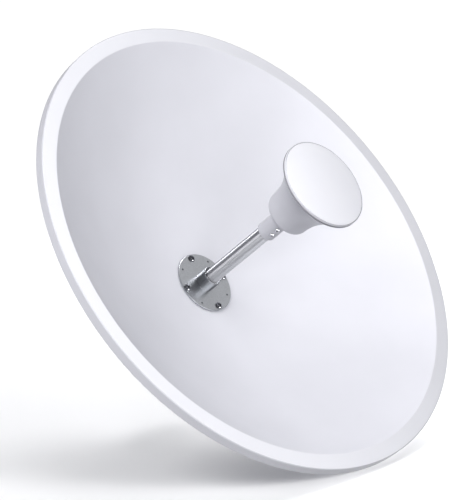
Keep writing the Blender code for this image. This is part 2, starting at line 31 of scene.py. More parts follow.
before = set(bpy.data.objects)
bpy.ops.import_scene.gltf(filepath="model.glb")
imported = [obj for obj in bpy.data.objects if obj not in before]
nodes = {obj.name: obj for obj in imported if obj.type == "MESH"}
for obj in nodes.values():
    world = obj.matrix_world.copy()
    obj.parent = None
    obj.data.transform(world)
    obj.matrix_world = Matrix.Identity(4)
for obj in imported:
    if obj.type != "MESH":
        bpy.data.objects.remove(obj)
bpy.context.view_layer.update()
scene = bpy.context.scene
fullTurn = 2 * math.pi
colourA, colourB, mixedColour = 6, 7, 2  # a Mix node's sockets when it mixes colours
print("frame loaded:", len(nodes), "CAD nodes")


def linearFromHex(code):
    # sRGB hex digits, turned to the linear values that shaders use
    values = np.array([int(code[i:i + 2], 16) for i in (0, 2, 4)]) / 255
    linear = np.where(values > 0.04045, ((values + 0.055) / 1.055) ** 2.4, values / 12.92)
    return (*(float(v) for v in linear), 1.0)


def addNode(tree, kind, links=None, inputs=None, **fields):
    # one node, with its own fields, the values of its sockets and the links into them
    node = tree.nodes.new(kind)
    for field, value in fields.items():
        setattr(node, field, value)
    for socket, value in (inputs or {}).items():
        node.inputs[socket].default_value = value
    for socket, output in (links or {}).items():
        tree.links.new(output, node.inputs[socket])
    return node


def startMaterial(name, colour, roughness, metallic=0.0):
    # a Principled material and the object coordinates that its patterns read
    made = bpy.data.materials.new(name)
    made.use_nodes = True
    tree = made.node_tree
    shader = tree.nodes["Principled BSDF"]
    shader.inputs["Base Color"].default_value = linearFromHex(colour)
    shader.inputs["Roughness"].default_value = roughness
    shader.inputs["Metallic"].default_value = metallic
    made.diffuse_color = linearFromHex(colour)
    place = addNode(tree, "ShaderNodeTexCoord").outputs["Object"]
    return made, tree, shader, place


def fromAxis(tree, place):
    # how far a place is from the dish axis, which is local Y
    flat = addNode(tree, "ShaderNodeVectorMath", {0: place}, {1: (1.0, 0.0, 1.0)}, operation="MULTIPLY")
    return addNode(tree, "ShaderNodeVectorMath", {0: flat.outputs[0]}, operation="LENGTH").outputs["Value"]


def tint(tree, shader, factor, darker, lighter):
    # the base colour runs from one hex colour to another by a pattern's value
    mix = addNode(tree, "ShaderNodeMix", {"Factor": factor},
                  {colourA: linearFromHex(darker), colourB: linearFromHex(lighter)}, data_type="RGBA")
    tree.links.new(mix.outputs[mixedColour], shader.inputs["Base Color"])


def colourOver(tree, shader, factor, code):
    # a hex colour laid over the base colour so far, as much as factor says
    plain = shader.inputs["Base Color"].links[0].from_socket
    mix = addNode(tree, "ShaderNodeMix", {"Factor": factor, colourA: plain},
                  {colourB: linearFromHex(code)}, data_type="RGBA")
    tree.links.new(mix.outputs[mixedColour], shader.inputs["Base Color"])


def roughen(tree, shader, value, low, high):
    # roughness runs from low to high by a pattern's value
    node = addNode(tree, "ShaderNodeMapRange", {"Value": value}, {"To Min": low, "To Max": high})
    tree.links.new(node.outputs["Result"], shader.inputs["Roughness"])


def addBump(tree, shader, height, distance):
    # a pattern's height as a bump, distance in metres
    bump = addNode(tree, "ShaderNodeBump", {"Height": height}, {"Distance": distance})
    tree.links.new(bump.outputs["Normal"], shader.inputs["Normal"])


def addUp(tree, one, other):
    # the sum of two patterns
    return addNode(tree, "ShaderNodeMath", {0: one, 1: other}, operation="ADD").outputs[0]


def fillRamp(ramp, stops):
    # the stops of a colour ramp, as (place, hex colour)
    elements = ramp.color_ramp.elements
    while len(elements) < len(stops):
        elements.new(0.5)
    for element, (position, code) in zip(elements, stops):
        element.position, element.color = position, linearFromHex(code)


def powderCoatedSheet():
    # Polyester powder coat on spun steel: satin white with a faint orange peel, and very faint spinning
    # rings under it. Band, bowl and lip are one paint: the greyer bowl and the greyer lip are painted shade.
    made, tree, shader, place = startMaterial("powderCoatedSheet", "f0f0f6", 0.42)
    radius = fromAxis(tree, place)
    # patches some 110 mm across
    cloud = addNode(tree, "ShaderNodeTexNoise", {"Vector": place}, {"Scale": 9.0, "Detail": 3.0})
    # painted shade by radius, 296 to 326 mm: the band begins near 303 mm and the lip near 323 mm
    shadeZones = addNode(tree, "ShaderNodeMapRange", {"Value": radius}, {"From Min": 0.296, "From Max": 0.326})
    ramp = addNode(tree, "ShaderNodeValToRGB", {"Fac": shadeZones.outputs["Result"]})
    fillRamp(ramp, ((0.21, "eeeef5"), (0.24, "f5f5fb"), (0.885, "f5f5fb"), (0.91, "ceced5")))
    patches = addNode(tree, "ShaderNodeMix", {"Factor": cloud.outputs["Fac"], colourA: ramp.outputs["Color"]},
                      {colourB: linearFromHex("f3f3f3")}, data_type="RGBA", blend_type="MULTIPLY")
    tree.links.new(patches.outputs[mixedColour], shader.inputs["Base Color"])
    # real orange peel is about 1 mm across; drawn 2.5 mm across, as a pixel of the photo covers 1.3 mm
    peel = addNode(tree, "ShaderNodeTexNoise", {"Vector": place}, {"Scale": 400.0, "Detail": 1.5})
    # roller marks of the spinning lathe, about 8 mm apart
    rings = addNode(tree, "ShaderNodeTexNoise", {"W": radius}, {"Scale": 125.0}, noise_dimensions="1D")
    addBump(tree, shader, addUp(tree, rings.outputs["Fac"], peel.outputs["Fac"]), 0.00003)
    roughen(tree, shader, cloud.outputs["Fac"], 0.36, 0.48)
    shader.inputs["IOR"].default_value = 1.5
    return made


def turnedAluminium():
    # Die-cast aluminium faced on a lathe: mid grey, fine rings round the axis and a slight sparkle of grain
    made, tree, shader, place = startMaterial("turnedAluminium", "b0b2b6", 0.36, 1.0)
    # tool marks are 0.15 mm apart; drawn 0.8 mm apart so that they show
    marks = addNode(tree, "ShaderNodeTexNoise", {"W": fromAxis(tree, place)}, {"Scale": 1250.0},
                    noise_dimensions="1D")
    grain = addNode(tree, "ShaderNodeTexNoise", {"Vector": place}, {"Scale": 900.0, "Detail": 2.0})
    tint(tree, shader, grain.outputs["Fac"], "9b9da1", "c4c6ca")
    addBump(tree, shader, addUp(tree, marks.outputs["Fac"], grain.outputs["Fac"]), 0.00001)
    roughen(tree, shader, marks.outputs["Fac"], 0.26, 0.34)
    return made


def brushedTube():
    # Stainless tube polished round and round on a belt: long highlights with sharp sides beside dark streaks
    made, tree, shader, place = startMaterial("brushedStainless", "a2a3a7", 0.4, 1.0)
    # scratches are 0.05 mm wide; drawn 0.6 mm wide, in bands round the tube that fade after some 20 mm
    drawn = addNode(tree, "ShaderNodeMapping", {"Vector": place}, {"Scale": (0.03, 1.0, 0.03)})
    streaks = addNode(tree, "ShaderNodeTexNoise", {"Vector": drawn.outputs[0]},
                      {"Scale": 1600.0, "Detail": 3.0})
    tint(tree, shader, streaks.outputs["Fac"], "9c9da1", "a8a9ad")
    addBump(tree, shader, streaks.outputs["Fac"], 0.000001)
    roughen(tree, shader, streaks.outputs["Fac"], 0.385, 0.415)
    # The scratches run round the dish axis, so a reflection is drawn out along the axis: the tangent is
    # place x axis, and a quarter turn of it points across the scratches.
    around = addNode(tree, "ShaderNodeVectorMath", {0: place}, {1: (0.0, 1.0, 0.0)},
                     operation="CROSS_PRODUCT")
    tree.links.new(around.outputs[0], shader.inputs["Tangent"])
    shader.inputs["Anisotropic"].default_value = 1.0
    shader.inputs["Anisotropic Rotation"].default_value = 0.25
    return made


def mouldedPlastic(name, darker, lighter, roughness, grainDepth):
    # UV-stable ABS from a spark-eroded mould: a fine even grain, 0.3 mm across and drawn 1 mm across
    made, tree, shader, place = startMaterial(name, lighter, roughness)
    grain = addNode(tree, "ShaderNodeTexNoise", {"Vector": place}, {"Scale": 1000.0, "Detail": 2.0})
    cloud = addNode(tree, "ShaderNodeTexNoise", {"Vector": place}, {"Scale": 30.0, "Detail": 2.0})
    tint(tree, shader, cloud.outputs["Fac"], darker, lighter)
    addBump(tree, shader, grain.outputs["Fac"], grainDepth)
    roughen(tree, shader, cloud.outputs["Fac"], roughness - 0.04, roughness + 0.05)
    shader.inputs["IOR"].default_value = 1.53
    return made


def shadeLine(made, radius, halfWidth, colour):
    # painted shade: a thin darker ring about the dish axis, where a groove, a seam or a side lies in shade
    tree = made.node_tree
    place = addNode(tree, "ShaderNodeTexCoord").outputs["Object"]
    line = addNode(tree, "ShaderNodeMath", {0: fromAxis(tree, place)}, {1: radius, 2: halfWidth},
                   operation="COMPARE")
    colourOver(tree, tree.nodes["Principled BSDF"], line.outputs[0], colour)


def hollowShade(made, reach, colour):
    # painted shade: a place that is closed in within reach comes nearer to this colour, as a recess lies in
    # shade
    tree = made.node_tree
    openness = addNode(tree, "ShaderNodeAmbientOcclusion", None, {"Distance": reach}).outputs["AO"]
    closed = addNode(tree, "ShaderNodeMapRange", {"Value": openness},
                     {"From Min": 0.6, "From Max": 0.95, "To Min": 1.0, "To Max": 0.0})
    colourOver(tree, tree.nodes["Principled BSDF"], closed.outputs["Result"], colour)


def polishedStainless(name, darker, lighter):
    # Cold-headed stainless screws: small sharp highlights beside near black, a little uneven
    made, tree, shader, place = startMaterial(name, lighter, 0.1, 1.0)
    uneven = addNode(tree, "ShaderNodeTexNoise", {"Vector": place}, {"Scale": 700.0, "Detail": 3.0})
    tint(tree, shader, uneven.outputs["Fac"], darker, lighter)
    addBump(tree, shader, uneven.outputs["Fac"], 0.00001)
    roughen(tree, shader, uneven.outputs["Fac"], 0.06, 0.16)
    return made


def galvanisedSheet():
    # Hot-dip galvanised steel: grey spangle in crystals of 5 to 8 mm, each with its own shade and sheen
    made, tree, shader, place = startMaterial("galvanisedSheet", "aeb1b5", 0.4, 1.0)
    frost = addNode(tree, "ShaderNodeTexNoise", {"Vector": place}, {"Scale": 260.0, "Detail": 3.0})
    spangle = addNode(tree, "ShaderNodeTexVoronoi", {"Vector": place}, {"Scale": 150.0, "Randomness": 1.0})
    shade = addNode(tree, "ShaderNodeSeparateColor", {"Color": spangle.outputs["Color"]})
    blend = addNode(tree, "ShaderNodeMath", {0: addUp(tree, shade.outputs[0], frost.outputs["Fac"])},
                    {1: 0.6}, operation="MULTIPLY")
    tint(tree, shader, blend.outputs[0], "94979b", "c0c3c7")
    addBump(tree, shader, frost.outputs["Fac"], 0.00003)
    roughen(tree, shader, shade.outputs[1], 0.3, 0.5)
    return made


def brightZinc():
    # Electroplated zinc with a clear passivate: silvery with a faint blue and straw tint
    made, tree, shader, place = startMaterial("brightZinc", "bfc1c3", 0.28, 1.0)
    film = addNode(tree, "ShaderNodeTexNoise", {"Vector": place}, {"Scale": 120.0, "Detail": 2.0})
    tint(tree, shader, film.outputs["Fac"], "b4b9c2", "c9c7bf")
    rough = addNode(tree, "ShaderNodeTexNoise", {"Vector": place}, {"Scale": 1500.0, "Detail": 2.0})
    addBump(tree, shader, rough.outputs["Fac"], 0.00001)
    roughen(tree, shader, rough.outputs["Fac"], 0.2, 0.38)
    return made


def nickelPlate():
    # Nickel-plated brass connectors: warm bright grey with fine turning marks
    made, tree, shader, place = startMaterial("nickelPlate", "c8c3b8", 0.22, 1.0)
    marks = addNode(tree, "ShaderNodeTexNoise", {"Vector": place}, {"Scale": 1200.0, "Detail": 2.0})
    tint(tree, shader, marks.outputs["Fac"], "b5b0a5", "d6d1c6")
    addBump(tree, shader, marks.outputs["Fac"], 0.00001)
    roughen(tree, shader, marks.outputs["Fac"], 0.16, 0.3)
    return made


coat = powderCoatedSheet()
aluminium = turnedAluminium()
stainless = brushedTube()
hornPlastic = mouldedPlastic("mouldedAbs", "b6b6bd", "bebec4", 0.36, 0.00002)
# painted shade: the collar is the horn's moulded ABS in a darker copy, standing in for the shade it sits in
collarPlasticShaded = mouldedPlastic("collarAbsShaded", "b0b0b7", "b8b8be", 0.36, 0.00002)
lidPlastic = mouldedPlastic("glossMouldedAbs", "f5f5fc", "f9f9fe", 0.3, 0.00001)
outletPlastic = mouldedPlastic("grainedAbs", "d6d7da", "dfe0e2", 0.5, 0.00004)
screwSteel = polishedStainless("polishedStainless", "88898e", "a8a9ae")
brightSteel = polishedStainless("brightStainless", "d2d3d8", "eaebef")
sheetZinc = galvanisedSheet()
boltZinc = brightZinc()
nickel = nickelPlate()

# painted shade: rings in the lid's groove, on the lid's side and in the seam under the lid
shadeLines = {
    "lidFace": {"on": lidPlastic, "radius": 0.0600, "halfWidth": 0.0004, "colour": "a8a8af"},
    "lidSide": {"on": lidPlastic, "radius": 0.0612, "halfWidth": 0.0006, "colour": "d2d2d9"},
    "hornSeam": {"on": hornPlastic, "radius": 0.0604, "halfWidth": 0.0008, "colour": "8f8f96"},
}
for groove in shadeLines.values():
    shadeLine(groove["on"], groove["radius"], groove["halfWidth"], groove["colour"])
# painted shade in the collar screws' cross recesses
hollowShade(brightSteel, 0.0015, "141416")  # the cross recesses show black in the photo
print("materials made")


def roundedCorners(corners, steps=8):
    # Each corner P with cut c becomes the parabola (1-s)^2 (P + u c) + 2 s (1-s) P + s^2 (P + w c),
    # where u and w point to the corners before and after it. Corners are rows of (radius, ahead, cut).
    points = np.array([c[:2] for c in corners], float)
    cut = np.array([c[2] for c in corners], float)[:, None, None]
    before, after = np.roll(points, 1, 0) - points, np.roll(points, -1, 0) - points
    u = (before / np.linalg.norm(before, axis=1, keepdims=True))[:, None, :]
    w = (after / np.linalg.norm(after, axis=1, keepdims=True))[:, None, :]
    s = np.linspace(0, 1, steps)[None, :, None]
    middle = points[:, None, :]
    curve = (1 - s) ** 2 * (middle + u * cut) + 2 * s * (1 - s) * middle + s ** 2 * (middle + w * cut)
    return curve.reshape(-1, 2)


def denser(profile, step):
    # points added along a profile so that no side is longer than step: one number, or one for each side
    steps = np.broadcast_to(step, len(profile) - 1)
    pieces = [
        np.linspace(a, b, max(1, math.ceil(np.linalg.norm(b - a) / longest)), endpoint=False)
        for a, b, longest in zip(profile[:-1], profile[1:], steps)
    ]
    return np.concatenate(pieces + [profile[-1:]])


def turnedGrid(radius, along, columns):
    # point(i, v) = (radius_i cos v, radius_i sin v, along_i), turned about local Z
    angle = np.linspace(0, fullTurn, columns, endpoint=False)
    if radius.ndim == 1:
        radius, along = radius[:, None] + 0 * angle, along[:, None] + 0 * angle
    return np.stack([radius * np.cos(angle), radius * np.sin(angle), along], -1)


def turnedRows(radius, along, columns):
    # the same from lists of rows: each is one number, one for every column, or several rows at once
    full = [np.concatenate([np.atleast_2d(row + np.zeros(columns)) for row in rows])
            for rows in (radius, along)]
    return turnedGrid(full[0], full[1], columns)


weldDistance, sharpFrom = 2e-6, math.radians(38)


def gridMesh(name, grid, ring):
    # Quads between neighbours of a grid of points. Columns close on themselves, rows too on a ring;
    # otherwise the first and last rows are poles and shrink to a point.
    rows, columns = grid.shape[:2]
    index = np.arange(rows * columns).reshape(rows, columns)
    lower = index if ring else index[:-1]
    upper = np.roll(index, -1, 0) if ring else index[1:]
    quads = np.stack([lower, np.roll(lower, -1, 1), np.roll(upper, -1, 1), upper], -1).reshape(-1, 4)
    mesh = bpy.data.meshes.new(name)
    mesh.from_pydata(grid.reshape(-1, 3), [], quads)
    bm = bmesh.new()
    bm.from_mesh(mesh)
    bmesh.ops.remove_doubles(bm, verts=bm.verts, dist=weldDistance)
    bmesh.ops.recalc_face_normals(bm, faces=bm.faces)
    bm.to_mesh(mesh)
    bm.free()
    mesh.shade_smooth()
    mesh.set_sharp_from_angle(angle=sharpFrom)
    return mesh


bracketSlots = ("zinc_plate", "zinc_bolts", "outlet_plastic", "connector_metal")
bracketPieces = []


def addPiece(name, mesh, surface, slotName, replacedNodes):
    # a finished piece in the row frame, riding on the one body
    piece = bpy.data.objects.new(name, mesh)
    scene.collection.objects.link(piece)
    mesh.materials.clear()
    mesh.materials.append(surface)
    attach(piece, "root")
    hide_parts(*replacedNodes)
    if slotName in bracketSlots:
        bracketPieces.append(name)
    return piece


def pieceFrom(name, grid, ring, surface, slotName, node):
    # the same from a grid of points, in place of one CAD node
    addPiece(name, gridMesh(name, grid, ring), surface, slotName, [node])


def standing(grid, seat, axis, spin=0.0):
    # a grid about local Z, set down at seat with its Z along axis
    turn = Vector(axis).to_track_quat("Z", "Y").to_matrix() @ Matrix.Rotation(spin, 3, "Z")
    return grid @ np.array(turn).T + np.array(seat)


def onDishAxis(profile, columns):
    # a profile of (radius, ahead) turned about the dish axis: x = r cos v, y = -ahead, z = r sin v
    grid = turnedGrid(profile[:, 0], profile[:, 1], columns)
    return np.stack([grid[..., 0], -grid[..., 2], grid[..., 1]], -1)


dish = {
    "hubAhead": 0.058,
    "bowlDepth": 0.1085,
    "hubRadius": 0.0405,
    "bowlRadius": 0.303,
    "rimRadius": 0.324,
    "bandFall": 0.0005,
    "lip": 0.014,
    "sheet": 0.002,
    "hubHole": 0.012,
    "crestReach": 0.01,
    "backAside": 0.0012,  # the back of the leaning sheet is this far out and behind its front
    "backBehind": 0.0016,
    "columns": 288,
}


def bowlAhead(radius):
    # paraboloid through the hub's edge and the bowl's edge
    share = (radius ** 2 - dish["hubRadius"] ** 2) / (dish["bowlRadius"] ** 2 - dish["hubRadius"] ** 2)
    return dish["hubAhead"] + dish["bowlDepth"] * share


def dishProfile():
    # once round the sheet: bowl, crest, band and lip, back of the bowl, then the flat hub with its hole
    rim = dish["hubAhead"] + dish["bowlDepth"]
    band = rim - dish["bandFall"]
    sheet, edge, hubRadius = dish["sheet"], dish["rimRadius"], dish["hubRadius"]
    radius = np.linspace(hubRadius, dish["bowlRadius"] - 0.0015, 72)
    front = np.stack([radius, bowlAhead(radius)], -1)
    start = dish["bowlRadius"] - dish["crestReach"]
    crest = roundedCorners([
        (start, bowlAhead(start), 0),
        (dish["bowlRadius"], rim, 0.0009),
        (edge, band, 0.0013),
        (edge, band - dish["lip"], 0.0009),
        (edge - sheet, band - dish["lip"], 0.0009),
        (edge - sheet, band - sheet, 0.0008),
        (dish["bowlRadius"] + dish["backAside"], rim - sheet * 0.9, 0.0008),
        (start + dish["backAside"], bowlAhead(start) - dish["backBehind"], 0),
    ], 7)[7:-7]
    slope = 2 * radius * dish["bowlDepth"] / (dish["bowlRadius"] ** 2 - hubRadius ** 2)
    lean = np.arctan(slope)
    back = np.stack([radius + sheet * np.sin(lean), bowlAhead(radius) - sheet * np.cos(lean)], -1)[::-1][1:]
    hubBack = dish["hubAhead"] - sheet
    hub = np.array([(hubRadius, hubBack), (dish["hubHole"], hubBack), (dish["hubHole"], dish["hubAhead"])])
    return np.concatenate([front, denser(crest, 0.003), back[:-1], hub])


pieceFrom("reflectorShell", onDishAxis(dishProfile(), dish["columns"]), True,
          coat, "white_paint", "reflector")
print("reflector made")


feed = {
    "flangeBack": 0.0583,
    "flangeFace": 0.0615,
    "flangeRadius": 0.042,
    "boltCircle": 0.036,
    "bossRadius": 0.0134,
    "bossTop": 0.0795,
    "bossFillet": 0.0001,
    "mouthRadius": 0.0122,
    "mouthDepth": 0.005,
    "bore": 0.0105,
    "pinHole": 0.0012,
    "pinDepth": 0.0022,
    "pinEdge": 0.0003,
    "tubeRadius": 0.0102,
    "tubeWall": 0.0015,
    "tubeBack": 0.0586,
    "tubeFront": 0.244,
    "collarRadius": 0.0132,
    "collarBack": 0.1919,
    "hornRear": 0.233,
    "hornFront": 0.3098,
    "hornRadius": 0.061,
    "cupRadius": 0.0308,
    "cupRound": 0.008,
    "flarePower": 2.5,
    "rimBand": 0.002,
    "mouthStep": 0.0014,
    "wall": 0.0025,
    "lidEdge": 0.003,
    "lidDome": 0.003,
    "lidSlope": 0.0006,
    "lidGroove": 0.0008,
    "gap": 0.0003,
}


def flangeProfile():
    # the turned outline, with short steps on the flat face where the blind holes are
    face, back, top = feed["flangeFace"], feed["flangeBack"], feed["bossTop"]
    rim, boss, mouth = feed["flangeRadius"], feed["bossRadius"], feed["mouthRadius"]
    bore, mouthFloor = feed["bore"], top - feed["mouthDepth"]
    outside = roundedCorners([
        (bore, back, 0),
        (rim - 0.0013, back, 0.0002),
        (rim - 0.0013, back + 0.0011, 0.0002),
        (rim, back + 0.0013, 0.0002),
        (rim, face, 0.0011),
        (boss, face, feed["bossFillet"]),
        (boss, top, 0.0006),
        (mouth, top, 0.0003),
        (mouth, mouthFloor, 0.0003),
        (bore, mouthFloor, 0.0003),
    ], 8)
    coarse = denser(np.concatenate([outside, outside[:1]]), 0.0018)
    middle = (coarse[:-1] + coarse[1:]) / 2
    byHoles = (np.abs(middle[:, 0] - feed["boltCircle"]) < 0.0025) & (np.abs(middle[:, 1] - face) < 1e-6)
    return denser(coarse, np.where(byHoles, 0.00025, 0.01))[:-1]


def pinHoleSink(profile, columns):
    # The profile turned about the dish axis. On the flat face each point sinks by pinDepth times a smooth
    # step of its distance from the nearest of four blind holes, which lie at 45 degrees and every quarter
    # turn from there. Columns crowd together at the holes: angle = v - 0.2 sin(4 v + pi).
    turn = np.linspace(0, fullTurn, columns, endpoint=False)
    angle = turn - 0.2 * np.sin(4 * turn + math.pi)
    radius, ahead = profile[:, :1] + 0 * angle, profile[:, 1:] + 0 * angle
    hole = (np.floor(angle / (math.pi / 2)) + 0.5) * math.pi / 2
    away = np.hypot(radius * np.cos(angle) - feed["boltCircle"] * np.cos(hole),
                    radius * np.sin(angle) - feed["boltCircle"] * np.sin(hole))
    onFace = np.abs(ahead - feed["flangeFace"]) < 1e-5
    share = np.clip((feed["pinHole"] + feed["pinEdge"] / 2 - away) / feed["pinEdge"], 0, 1)
    ahead = ahead - onFace * feed["pinDepth"] * share * share * (3 - 2 * share)
    return np.stack([radius * np.cos(angle), -ahead, radius * np.sin(angle)], -1)


pieceFrom("feedFlange", pinHoleSink(flangeProfile(), 336), True, aluminium, "feed_metal", "feed_flange")

tube = roundedCorners([
    (feed["tubeRadius"] - feed["tubeWall"], feed["tubeBack"], 0.0002),
    (feed["tubeRadius"], feed["tubeBack"], 0.0002),
    (feed["tubeRadius"], feed["tubeFront"], 0.0002),
    (feed["tubeRadius"] - feed["tubeWall"], feed["tubeFront"], 0.0002),
], 4)
pieceFrom("feedTube", onDishAxis(denser(tube, 0.01), 96), True, stainless, "tube_metal", "feed_tube")

collar = roundedCorners([
    (feed["bore"], feed["collarBack"], 0.0003),
    (feed["collarRadius"], feed["collarBack"], 0.0022),
    (feed["collarRadius"], feed["hornRear"] - feed["gap"], 0.0004),
    (feed["bore"], feed["hornRear"] - feed["gap"], 0.0002),
], 8)
pieceFrom("tubeCollar", onDishAxis(denser(collar, 0.002), 96), True,
          collarPlasticShaded, "white_plastic", "tube_collar")


def hornProfile():
    # outer radius = cup + (mouth - cup) (height / length)^power, inner wall parallel to it
    length = feed["hornFront"] - feed["hornRear"] - feed["rimBand"]
    rear, front, wall = feed["hornRear"], feed["hornFront"], feed["wall"]
    cup, mouth, rounding = feed["cupRadius"], feed["hornRadius"], feed["cupRound"]
    band, seam = front - feed["rimBand"], mouth - feed["mouthStep"]
    height = np.linspace(rounding, length, 48)
    radius = cup + (mouth - cup) * (height / length) ** feed["flarePower"]
    foot = np.linspace(-math.pi / 2, 0, 14)[:-1]
    footArc = np.stack([cup - rounding + rounding * np.cos(foot),
                        rear + rounding + rounding * np.sin(foot)], -1)
    outer = np.stack([radius, rear + height], -1)
    edge = roundedCorners([
        (mouth, band, 0.0004),
        (seam, band + 0.0008, 0.0002),
        (seam, front, 0.0002),
        (mouth - wall, front, 0.0002),
        (mouth - wall, band, 0),
    ], 5)[:20]
    inner = np.stack([radius - wall, rear + height], -1)[::-1]
    floor = np.array([(cup - rounding, rear + wall), (feed["bore"], rear + wall), (feed["bore"], rear)])
    return np.concatenate([footArc, outer, edge, inner, floor])


pieceFrom("feedHorn", onDishAxis(hornProfile(), 144), True, hornPlastic, "white_plastic", "feed_horn")


def lidProfile():
    # dome ahead of the edge = lidDome (1 - (r / R)^2); outside it a fine groove, a sloping edge, the side
    back = feed["hornFront"] + feed["gap"]
    edge = back + feed["lidEdge"]
    slope, groove, outside = feed["lidSlope"], feed["lidGroove"], feed["hornRadius"]
    face = outside - slope - groove
    corner = roundedCorners([
        (outside * 0.9, back, 0),
        (outside, back, 0.0004),
        (outside, edge - slope * 0.6, 0.0003),
        (outside - slope, edge - 0.0001, 0.0002),
        (outside - slope, edge - groove, 0.00015),
        (face, edge - groove, 0.00015),
        (face, edge, 0.0003),
        (face * 0.9, edge + feed["lidDome"] * 0.19, 0),
    ], 6)[6:42]
    radius = np.linspace(corner[-1, 0], 0, 40)[1:]
    dome = np.stack([radius, edge + feed["lidDome"] * (1 - (radius / face) ** 2)], -1)
    underside = denser(np.array([(0.002, back), corner[0]]), 0.004)[:-1]
    return np.concatenate([[(0.0, back)], underside, corner, dome])


pieceFrom("hornLid", onDishAxis(lidProfile(), 144), False, lidPlastic, "lid_plastic", "horn_lid")
print("feed made")


button = {"seat": 0.0618, "radius": 0.0048, "rise": 0.0026, "socket": 0.004, "socketDepth": 0.0015,
          "shank": 0.003, "length": 0.0192, "neck": 0.0075, "tip": 0.0006, "pitch": 0.001, "columns": 48}


def hexRadius(flats, angle):
    # distance from the middle to the side of a hexagon with a corner at angle 0
    within = np.mod(angle, math.pi / 3) - math.pi / 6
    return flats / 2 / np.cos(within)


def threadRows(radius, low, high, pitch, columns, perPitch=6):
    # radius - depth |2 frac(z / pitch - v / turn) - 1|, a helix that closes on itself at every turn
    z = np.linspace(low, high, int((high - low) / pitch * perPitch) + 1)[:, None]
    v = np.linspace(0, 1, columns, endpoint=False)[None, :]
    depth = 0.6 * pitch
    wave = np.abs(2 * np.mod(z / pitch - v, 1) - 1)
    fade = np.clip((high - z) / pitch, 0, 1) * np.clip((z - low) / pitch, 0, 1)
    return radius - depth * wave * fade, z + 0 * v


def buttonScrewGrid():
    # A domed head with a sunk hexagon socket above local z = 0, and a threaded shank below.
    # Height of the dome = rise sqrt(1 - 0.86 (r / R)^2).
    angle = np.linspace(0, fullTurn, button["columns"], endpoint=False)
    rise, big, shank, length = button["rise"], button["radius"], button["shank"], button["length"]
    socket = hexRadius(button["socket"], angle)
    floor = rise - button["socketDepth"]
    lip = 1.06 * socket
    domeRadius = lip + (big - lip) * np.linspace(0, 1, 9)[1:, None]
    domeHeight = rise * np.sqrt(np.clip(1 - (domeRadius / big) ** 2 * 0.86, 0, 1)) - 0.0001
    threadRadius, threadZ = threadRows(shank, -length + button["tip"], -button["neck"], button["pitch"],
                                       button["columns"])
    radius = [0, shank - button["tip"], threadRadius, shank, big, big,
              domeRadius[::-1], lip, socket, socket * 0.98, 0]
    height = [-length, -length, threadZ, 0, 0, 0.0004,
              domeHeight[::-1], domeHeight[0] + 0.00002, rise * 0.9, floor, floor - 0.0003]
    return turnedRows(radius, height, button["columns"])


def onBoltCircle(number, ahead):
    # four places on the flange's bolt circle, numbered from 0 at +X towards +Z
    turn = number * math.pi / 2
    return feed["boltCircle"] * math.cos(turn), -ahead, feed["boltCircle"] * math.sin(turn)


for number in range(4):
    screw = standing(buttonScrewGrid(), onBoltCircle(number, button["seat"]), (0, -1, 0), 0.35 + number)
    pieceFrom(f"flangeScrew{number + 1}", screw, False,
              screwSteel, "bright_screws", f"flange_bolt_{number + 1}")

collarScrew = {"fromHorn": (0.0163, 0.0282), "angles": (50.0, 230.0), "seat": 0.0135, "foot": 0.0108,
               "head": 0.0031, "rise": 0.0015, "shank": 0.0015, "recess": 0.0009, "slotHalf": 0.00042,
               "slotReach": 0.0019, "slotEdge": 0.00025, "columns": 64}


def collarScrewGrid():
    # A low pan head of height rise sqrt(1 - (r / R)^4). A cross recess sinks it by a smooth step of the
    # distance from two crossed slots.
    angle = np.linspace(0, fullTurn, collarScrew["columns"], endpoint=False)
    head, rise, shank = collarScrew["head"], collarScrew["rise"], collarScrew["shank"]
    drop = collarScrew["foot"] - collarScrew["seat"]
    radius = head * np.linspace(1, 0, 22)[:, None] + 0 * angle
    dome = rise * (1 - (radius / head) ** 4) ** 0.5
    x, z = np.abs(radius * np.cos(angle)), np.abs(radius * np.sin(angle))
    slot = np.maximum(np.minimum(x, z) - collarScrew["slotHalf"], np.maximum(x, z) - collarScrew["slotReach"])
    share = np.clip(0.5 - slot / collarScrew["slotEdge"], 0, 1)
    dome = dome - collarScrew["recess"] * share * share * (3 - 2 * share)
    return turnedRows([0, shank, shank, radius], [drop, drop, 0, dome], collarScrew["columns"])


number = 0
for angle in collarScrew["angles"]:
    for back in collarScrew["fromHorn"]:
        number += 1
        out = (math.cos(math.radians(angle)), 0.0, math.sin(math.radians(angle)))
        seat = (out[0] * collarScrew["seat"], back - feed["hornRear"], out[2] * collarScrew["seat"])
        screw = standing(collarScrewGrid(), seat, out, 0.4 + number)
        pieceFrom(f"collarScrew{number}", screw, False,
                  brightSteel, "bright_screws", f"collar_screw_{number}")

m8 = {"flats": 0.013, "head": 0.0053, "nut": 0.0065, "radius": 0.004, "nutBore": 0.0044, "pitch": 0.00125}
m6 = {"flats": 0.010, "nut": 0.005, "nutBore": 0.0033, "pitch": 0.001, "nutSeat": 0.0491}
hexChamfer = {"circle": 0.97, "slope": math.tan(math.radians(30)), "columns": 48}


def hexSides(flats):
    # a hexagon, its chamfer circle, and how far the face falls where the hexagon reaches past that circle
    angle = np.linspace(0, fullTurn, hexChamfer["columns"], endpoint=False)
    side = hexRadius(flats, angle)
    circle = flats / 2 * hexChamfer["circle"]
    return side, circle, (side - circle) * hexChamfer["slope"]


def hexHeadGrid(length):
    # an M8 hexagon head, below it a plain neck and a threaded shank with a chamfered end
    side, circle, fall = hexSides(m8["flats"])
    head, shank, neck = m8["head"], m8["radius"], -min(length * 0.5, 0.018)
    threadRadius, threadZ = threadRows(shank, -length + 0.001, neck, m8["pitch"], hexChamfer["columns"])
    radius = [0, shank - 0.0012, threadRadius, shank, circle, side * 0.985, side, side, circle, 0]
    height = [-length, -length, threadZ, 0, 0, 0.0001, 0.0003, head - fall, head, head]
    return turnedRows(radius, height, hexChamfer["columns"])


